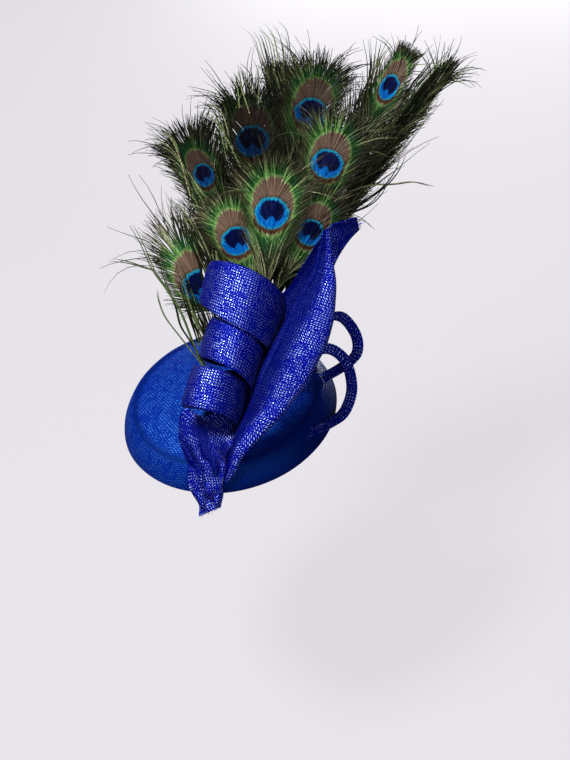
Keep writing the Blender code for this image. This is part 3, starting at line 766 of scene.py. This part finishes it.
print("stage: feathers")
fan = {"footAcross": 27.0, "footUp": 43.0, "footUpPerLayer": 1.3, "footSearch": 0.25, "laneSpacing": 3.0,
       "waistAcross": 31.0, "waistUp": 93.0, "gapAtWaist": 3.2, "gapAtTop": 5.5, "topUp": 190.0, "lean": 0.22,
       "front": 5.0, "middleAcross": 45.0, "bowl": 0.0011, "quillGap": 1.1}
featherColumns = ("lane", "eyeAcross", "eyeUp", "tipAcross", "tipUp", "halfWidth", "bladeStart", "waistUp",
                  "eyeScale", "toneAndShade", "wisps", "spread", "crest", "squash")
# the tenth column darkens a whole feather: partly its own tone, partly painted shade on the feathers lying in the
# shade of those in front
feathers = (  # front of the fan to its back
    (4, 35, 167.5, 38.5, 222, 32, 0.05, 93, 1, 1, 8, 0.85, 0.85, 1),
    (6, 67.5, 151, 78, 197, 22, 0.05, 93, 0.85, 0.8, 6, 0.8, 0.8, 0.9),
    (2, 5, 144, -9, 190, 26, 0.10, 90, 0.9, 0.9, 10, 0.8, 0.8, 1),
    (8, 81.7, 208.3, 93.3, 263, 28, 0.08, 93, 0.92, 0.85, 10, 0.85, 0.85, 1),
    (0, -26.7, 106.7, -40, 186, 26, 0.25, 74, 1, 0.95, 6, 0.5, 0.58, 1),
    (7, 68.3, 250.8, 82, 308, 31, 0.08, 93, 0.95, 0.4, 16, 0.85, 0.65, 1),
    (3, 18.3, 227.5, 11, 286, 32, 0.08, 93, 1, 0.1, 18, 0.8, 0.6, 1),
    (1, -22.5, 198.3, -58, 242, 32, 0.08, 90, 0.75, 0.3, 14, 0.75, 0.55, 0.8),
    (9, 133.3, 271.7, 160, 303, 25, 0.10, 93, 0.85, 1, 8, 0.68, 0.2, 0.62),
    (5, 46, 260, 38, 293, 25, 0.12, 93, 0.03, 0.8, 20, 0.75, 0.5, 1),
    (10, 163, 262, 199, 289, 17, 0.12, 93, 0.03, 0.9, 16, 0.45, 0.2, 1),
)
barbLook = {
    "eyeEvery": 0.42,  # mm of shaft between barbs beside the eye
    "looseEvery": 0.85,  # and further down
    "eyeBelow": 32.0,  # how far below the eye's middle the close barbs begin
    "crestBarbs": 74,  # at the shaft's end, on each side
    "longHerls": 60,  # loose strands from the waist, on each side
    "segments": 9, "spineRows": 400, "seed": 100,
    "lock": 6,  # barbs that draw together at their tips
    "eyeWidth": 0.78, "crestWidth": 0.9, "looseWidth": 0.68, "tipWidth": 0.3,
    "quillRadius": 0.85, "shaftRadius": 0.3, "shaftEnd": 4.7, "shaftRows": 70, "shaftSides": 8,
}


def fanOut(across, up, layer):
    # how far out a layer of the fan lies where it is seen
    rise = np.clip((up - fan["waistUp"]) / (fan["topUp"] - fan["waistUp"]), 0, 1)
    gap = fan["gapAtWaist"] + (fan["gapAtTop"] - fan["gapAtWaist"]) * smooth(rise)
    bowl = fan["bowl"] * (across - fan["middleAcross"]) ** 2
    return fan["front"] + fan["lean"] * (up - fan["waistUp"]) - bowl * rise - gap * layer


def depthOnBase(across, up):
    # how far out a quill first meets the base where it is seen
    out = np.arange(baseShape["rimRadius"], -baseShape["rimRadius"], -fan["footSearch"])
    points = toHat(seen(np.stack((np.full_like(out, across), np.full_like(out, up), out), axis=1)))
    moved = np.abs(offTheBase(points, fan["quillGap"]) - points).max(axis=1) > 1e-9
    return out[moved.argmax()]


def spineTable(feather, layer):
    lane = (feather["lane"] - (len(feathers) - 1) / 2) * fan["laneSpacing"]
    foot = (fan["footAcross"] + lane, fan["footUp"] + fan["footUpPerLayer"] * layer)
    rows = [(3, fan["waistAcross"] + lane, feather["waistUp"]), (5, feather["eyeAcross"], feather["eyeUp"]),
            (6, feather["tipAcross"], feather["tipUp"])]
    return [(0, *foot, depthOnBase(*foot))] + [(*row, fanOut(*row[1:], layer)) for row in rows]


def addPlume(name, line, widths, twist, eyeMap, toneAndShade, streak, s):
    # strips along many lines at once, and what their colours are read from; line (strands, points, 3) is as seen
    along = unit(np.gradient(line[..., :2], axis=1))
    across = np.stack((-along[..., 1], along[..., 0]), axis=-1)
    side = np.concatenate((across * np.cos(twist)[..., None], np.sin(twist)[..., None]), axis=-1)
    side = side * (widths[..., None] / 2)
    points = toHat(seen(np.stack((line + side, line - side), axis=2).reshape(-1, 3)))
    barb = np.ones((*line.shape[:2], 4), np.float32)
    barb[..., 0], barb[..., 1], barb[..., 2] = toneAndShade, streak, s
    piece = addPiece(name, points, strandFaces(*line.shape[:2]), peacockBarbs, "eyeMap",
                     np.repeat(eyeMap[:, :, None], 2, axis=2))
    setValues(piece, "barb", np.repeat(barb[:, :, None], 2, axis=2), "FLOAT_COLOR", "color")
    return piece


def growBarbs(rng, root, heading, leader, columns, layer):
    # lines of barbs: each leaves the shaft at its angle and bends towards the tip, drawn to its lock's leader
    s = np.linspace(0, 1, barbLook["segments"] + 1)[None, :]
    each = (len(root), 1)
    draw, side, angle, droop, length, ruffle, width = (column[:, None] for column in columns)
    turn = angle + droop * s ** 1.3
    turn += ruffle * np.sin(s * rng.uniform(3, 8, each) + rng.uniform(0, 6, each)) * s
    lateral = np.stack((heading[:, 1], -heading[:, 0]), axis=1) * side
    way = np.cos(turn)[..., None] * heading[:, None] + np.sin(turn)[..., None] * lateral[:, None]
    step = way[:, :-1] * (length / barbLook["segments"])[..., None]
    place = root[:, None] + np.concatenate((np.zeros((*each, 2)), np.cumsum(step, axis=1)), axis=1)
    place = place + (place[leader] - place) * draw[..., None] * (s ** 1.5)[..., None]
    out = fanOut(place[..., 0], place[..., 1], layer) + rng.uniform(-0.45, 0.45, each)
    out = out + rng.normal(0, 1.6, each) * ruffle * 4 * s ** 2
    taper = np.minimum(1, 0.85 + 3 * s) * (1 - smooth((s - 0.7) / 0.3) * (1 - barbLook["tipWidth"] / width))
    twist = rng.uniform(-1, 1, each) * ruffle * 3.2 * (0.3 + s)
    return np.concatenate((place, out[..., None]), axis=-1), width * taper, twist, s


def featherBarbs(rng, feather, layer, table):
    b = barbLook
    start = 3 + feather["bladeStart"]
    keys = np.linspace(start, 5, b["spineRows"])
    spine = readTable(table, keys)[:, :2]
    far = wayAlong(spine)
    shaft = far[-1]
    heading = unit(np.gradient(spine, axis=0))
    tipReach = math.hypot(feather["tipAcross"] - feather["eyeAcross"], feather["tipUp"] - feather["eyeUp"])
    half, widest, spread = feather["halfWidth"], 58 * feather["crest"], feather["spread"]
    groups = []

    def add(below, angle, droop, length, ruffle, width, draw=0.0):
        # barbs on both sides; below: how far under the shaft's end, mm; angle and droop in degrees
        count = len(below)
        lock = np.minimum(np.arange(count) // b["lock"] * b["lock"] + b["lock"] // 2, count - 1)
        for side in (-1, 1):
            before, drawn = sum(len(group[0]) for group in groups), draw * rng.uniform(0.5, 1.2, count)
            groups.append((
                before + lock, np.clip(shaft - below + rng.uniform(-0.3, 0.3, count), 0, shaft), drawn,
                np.full(count, side),
                np.radians(angle + rng.normal(0, 1, count) * ruffle * 12),
                np.radians(droop + rng.normal(0, 1, count) * ruffle * 60),
                length * rng.uniform(1 - 0.9 * ruffle, 1 + 0.5 * ruffle, count),
                np.full(count, ruffle), np.full(count, width)))

    close = np.arange(0, min(b["eyeBelow"], shaft), b["eyeEvery"])
    t = close / b["eyeBelow"]
    add(close, widest * (1 - t) + 36 * spread * t, 6, half * (1.56 - 0.2 * t), 0.12, b["eyeWidth"], 0.3)
    crest = np.linspace(0, 1, b["crestBarbs"])
    reach = 0.9 * tipReach * (1 - crest ** 2) + 1.5 * half * crest ** 2
    add(np.zeros(len(crest)), widest * crest, 37 * feather["crest"] * crest, reach, 0.2, b["crestWidth"], 0.45)
    wisps = rng.uniform(0, 1, feather["wisps"])
    add(np.zeros(len(wisps)), widest * wisps, 20 + 60 * wisps, tipReach * (1.22 - 0.15 * wisps), 0.26, b["looseWidth"])
    loose = np.arange(b["eyeBelow"], shaft, b["looseEvery"])
    if len(loose):
        t = (loose - b["eyeBelow"]) / max(shaft - b["eyeBelow"], 1)
        add(loose, (34 - 16 * t) * spread, 12, half * (1.6 + 0.4 * t), 0.16, b["looseWidth"], 0.4)
        add(loose, (22 - 10 * t) * spread, 26, half * (2.1 - 0.3 * t), 0.2, b["looseWidth"], 0.3)
    herls = np.sort(rng.uniform(0.25, 1, b["longHerls"])) * shaft
    lean = rng.uniform(2, 16, len(herls)) * spread
    add(herls, lean, 4, np.minimum(herls * rng.uniform(0.6, 1.0, len(herls)), 95) + 18, 0.2, b["looseWidth"])
    leader, at, *columns = map(np.concatenate, zip(*groups))
    root, way = between(at, far, spine), unit(between(at, far, heading))
    return *growBarbs(rng, root, way, leader, columns, layer), spine[-1], heading[-1], leader


def makeFeather(number, values):
    feather, layer = dict(zip(featherColumns, values)), number - 1
    rng = np.random.default_rng(barbLook["seed"] + number)
    table = spineTable(feather, layer)
    line, widths, twist, s, eye, forward, leader = featherBarbs(rng, feather, layer, table)
    offset = (line[..., :2] - eye) / feather["eyeScale"]
    right = np.array((forward[1], -forward[0])) / feather["squash"]
    eyeMap = np.stack((offset @ right, offset @ forward), axis=-1) / eyeMapUnit
    together, alone = rng.uniform(0, 1, len(line))[leader], rng.uniform(0, 1, len(line))
    streak = np.clip(0.5 + 0.95 * (together - 0.5) + 0.45 * (alone - 0.5), 0, 1)[:, None]
    piece = addPlume(f"peacock_feather_{number}", line, widths, twist, eyeMap, feather["toneAndShade"], streak, s)
    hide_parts(f"feather_{number}")
    makeShaft(number, table)


def makeShaft(number, table):
    b = barbLook
    rows, sides = b["shaftRows"], b["shaftSides"]
    keys = np.linspace(0, b["shaftEnd"], rows)
    line = toHat(seen(readTable(table, keys)))
    along = unit(np.gradient(line, axis=0))
    side = unit(np.cross(along, axes[:, 2]))
    upward = np.cross(side, along)
    t, share = smooth(keys / 4.2)[:, None, None], keys / keys[-1]
    radius = (b["quillRadius"] * (1 - t) + b["shaftRadius"] * t) * (1 - 0.7 * share[:, None, None] ** 8) * mm
    angle = (np.arange(sides) * math.tau / sides)[None, :, None]
    points = line[:, None] + (side[:, None] * np.cos(angle) + upward[:, None] * np.sin(angle)) * radius
    shaft = addPiece(f"quill_{number}", points, gridFaces(rows, sides, closed=True), quillHorn)
    setValues(shaft, "along", np.repeat(share, sides))


for number, values in enumerate(feathers, 1):
    makeFeather(number, values)

print("stage: loose strands")
looseStrands = {"spread": 1.2, "steps": 26, "seed": 77}
strayLines = (  # width, copies, then from foot to tip: across, up, how far out
    (1.5, 3, -22, 36, 40, -30, 55, 40, -40, 81, 38, -52, 101, 34, -63, 117, 30, -72, 138, 26, -80, 153, 24),
    (1.1, 2, -63, 117, 30, -73, 120, 28, -85, 123.5, 27, -97, 125, 27),
    (1.3, 2, -20, 37.5, 42, -33, 58, 40, -41, 71, 38, -45, 87, 36, -53, 107, 33, -57, 122, 30, -60, 137, 28),
    (1.1, 2, -22.5, 38, 42, -39, 59, 39, -53, 78, 36, -58, 92, 34, -58.5, 101, 33),
    (1.5, 2, 86, 158, -4, 112, 175, -4, 128, 187, -5, 138, 200, -6, 143, 214, -7),
    (1.5, 2, 100, 183, -6, 118, 188, -8, 136, 188.5, -9, 152, 190, -10, 168, 186, -11),
    (1.2, 2, 104, 190, -8, 118, 198, -9, 132, 207, -10, 144, 212, -11),
    (1.2, 2, 90, 160, -5, 104, 166, -6, 117, 172, -7, 127, 182, -8, 133, 196, -9),
)
sweeps = (  # layer of the fan, how many, width, shortest share, then across, up at four places of the first and last
    (6.6, 20, 0.95, 0.8, -27, 180, -45, 221, -58, 235, -76, 242, -20, 160, -38, 187, -48, 193, -57, 195),
    (5.6, 18, 0.95, 0.75, -2, 196, -10, 226, -19, 238, -34, 244, 2, 228, -1, 254, -4, 262, -9, 266),
    (5.4, 9, 0.9, 0.7, 8, 248, 4, 266, 3, 273, 0, 279, 26, 256, 22, 280, 18, 290, 12, 298),
    (8.6, 22, 0.9, 0.6, 40, 245, 27, 284, 22, 301, 14, 317, 62, 250, 73, 283, 80, 292, 91, 295),
    (8.9, 12, 0.8, 0.6, 34, 262, 26, 296, 20, 312, 6, 324, 52, 268, 50, 300, 46, 318, 34, 330),
    (6.2, 10, 0.8, 0.7, -4, 222, -13, 242, -20, 250, -32, 256, 4, 248, -3, 264, -9, 273, -20, 280),
    (8.2, 12, 1, 0.7, 88, 222, 94, 248, 94, 264, 90, 280, 102, 222, 110, 250, 113, 268, 116, 284),
    (9.2, 14, 0.9, 0.7, 106, 245, 115, 278, 115, 294, 112, 312, 110, 245, 125, 289, 131, 301, 140, 310),
    (9.8, 14, 0.9, 0.75, 140, 245, 170, 280, 184, 292, 200, 306, 140, 235, 172, 264, 188, 276, 203, 290),
    (9.8, 18, 1, 0.7, 126, 236, 150, 270, 164, 287, 176, 304, 138, 236, 162, 268, 180, 286, 195, 303),
    (3, 16, 1.3, 0.8, -14, 96, -26, 124, -33, 141, -42, 158, -4, 96, -17, 130, -25, 148, -34, 165),
    (3.4, 22, 1.2, 0.7, 0, 100, -16, 124, -20, 140, -26, 160, 6, 100, -8, 124, -8, 145, -12, 165),
    (3.4, 26, 1.1, 0.5, -2, 100, -34, 148, -47, 168, -60, 180, 8, 100, -12, 150, -24, 168, -40, 178),
    (-1, 14, 1.2, 0.7, -25, 56, -35, 80, -41, 100, -50, 122, -19, 56, -25, 80, -33, 104, -41, 126),
    (-1.5, 16, 1.1, 0.6, -18, 45, -26, 72, -36, 92, -46, 112, -8, 50, -12, 78, -18, 98, -26, 116),
)


def addStrands(name, rows, widths, toneAndShade, rng):
    # free herls as one joined mesh, mapped away from every eye
    rows, widths = np.array(rows), np.array(widths)
    along = np.repeat(np.linspace(0, 1, rows.shape[1])[None], len(rows), axis=0)
    twist = rng.uniform(-1.2, 1.2, (len(rows), 1)) * along
    addPlume(name, rows, widths[:, None] * (1 - 0.75 * along ** 3), twist, rows[..., :2] / eyeMapUnit + 10, toneAndShade,
             rng.uniform(0.1, 1, (len(rows), 1)), along * 0.7)


def makeStrays():
    spread = looseStrands["spread"]
    rng = np.random.default_rng(looseStrands["seed"])
    t = np.linspace(0, 1, looseStrands["steps"])
    rows, widths = [], []
    for width, copies, *line in strayLines:
        line = np.reshape(line, (-1, 3))
        table = np.column_stack((np.arange(len(line)) / (len(line) - 1), line))
        for _ in range(copies):
            drift = rng.normal(0, spread, (1, 3)) * (0.25 + 1.6 * t[:, None] ** 2)
            rows.append(readTable(table, t) + drift)
            widths.append(width)
    addStrands("stray_herls", rows, widths, 0.45, rng)
    rows, widths = [], []
    for layer, count, width, shortest, *places in sweeps:
        first, last = np.reshape(places, (2, 4, 2))
        for share in (np.arange(count) + rng.uniform(-0.5, 0.5, count)) / (count - 1):
            bend = rng.normal(0, spread, (1, 2)) * np.array((0, 0.5, 1, 2))[:, None]
            bend[0] = rng.normal(0, 4, 2)
            table = np.column_stack((np.arange(4) / 3, first + (last - first) * share + bend))
            flat = readTable(table, t * rng.uniform(shortest, 1))
            depth = fanOut(flat[:, 0], flat[:, 1], layer) + rng.uniform(-1, 1) + rng.normal(0, 2) * t ** 2
            rows.append(np.column_stack((flat, depth)))
            widths.append(width)
    addStrands("swept_herls", rows, widths, 1.0, rng)


makeStrays()

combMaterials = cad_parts["comb"].data.materials
combMaterials.clear()
combMaterials.append(combPlastic)

print("stage: floor and lights")
studio = {
    "floorHeight": -0.30, "floorSize": 12.0, "floorColour": (0.05, 0.048, 0.052, 1),
    "floorGlow": (0.70, 0.675, 0.715, 1),  # what the camera sees of the floor past its own colour, and of the world
    "world": (0.68, 0.78, 1.0, 1), "worldStrength": 0.1,
    # name, place in the view (m), size (m), power (W), colour
    "lights": (("key", (-0.64, 0.92, 1.00), 0.34, 44.0, (1.0, 0.99, 1.0)),
               ("low", (0.42, -0.40, 1.25), 0.3, 9.0, (0.99, 0.99, 1.0)),
               ("back", (0.35, 0.55, -1.15), 0.8, 48.0, (0.97, 0.98, 1.0))),
}


def makeStudio():
    mesh = bpy.data.meshes.new("floor")
    half = studio["floorSize"] / 2
    mesh.from_pydata([(-half, -half, 0), (half, -half, 0), (half, half, 0), (-half, half, 0)], [], [(0, 1, 2, 3)])
    floor = addObject("floor", mesh)
    floor.location.z = studio["floorHeight"]
    made, tree, shader = newMaterial("paleFloor", {"Base Color": studio["floorColour"], "Roughness": 0.9,
                                                  "Emission Color": studio["floorGlow"]})
    setInputs(tree, shader, {"Emission Strength": addNode(tree, "LightPath")["Is Camera Ray"]})
    mesh.materials.append(made)
    floor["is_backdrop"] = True
    scene.world = bpy.data.worlds.new("studio")
    scene.world.use_nodes = True
    tree = scene.world.node_tree
    lit, shown = tree.nodes["Background"], addNode(tree, "Background", {0: studio["floorGlow"], 1: 1.0})
    setInputs(tree, lit, {0: studio["world"], 1: studio["worldStrength"]})
    mix = addNode(tree, "MixShader", {0: addNode(tree, "LightPath")["Is Camera Ray"],
                                               1: lit.outputs[0], 2: shown[0]})
    setInputs(tree, tree.nodes["World Output"], {0: mix[0]})
    for name, place, size, power, colour in studio["lights"]:
        data = bpy.data.lights.new(name, "AREA")
        data.size, data.energy, data.color = size, power, colour
        light = addObject(name, data)
        light.location = Vector(axes @ np.array(place))
        light.rotation_euler = (-light.location).to_track_quat("-Z", "Y").to_euler()
    scene.view_settings.view_transform = "Standard"


makeStudio()

bpy.context.view_layer.update()
visualBox = [[float(value) for value in corner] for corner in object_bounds()]
for key, cad, visual in zip(("low", "high"), cadBox, visualBox):
    print(key, [round((v - c) * 1000, 1) for c, v in zip(cad, visual)], "mm past the model")
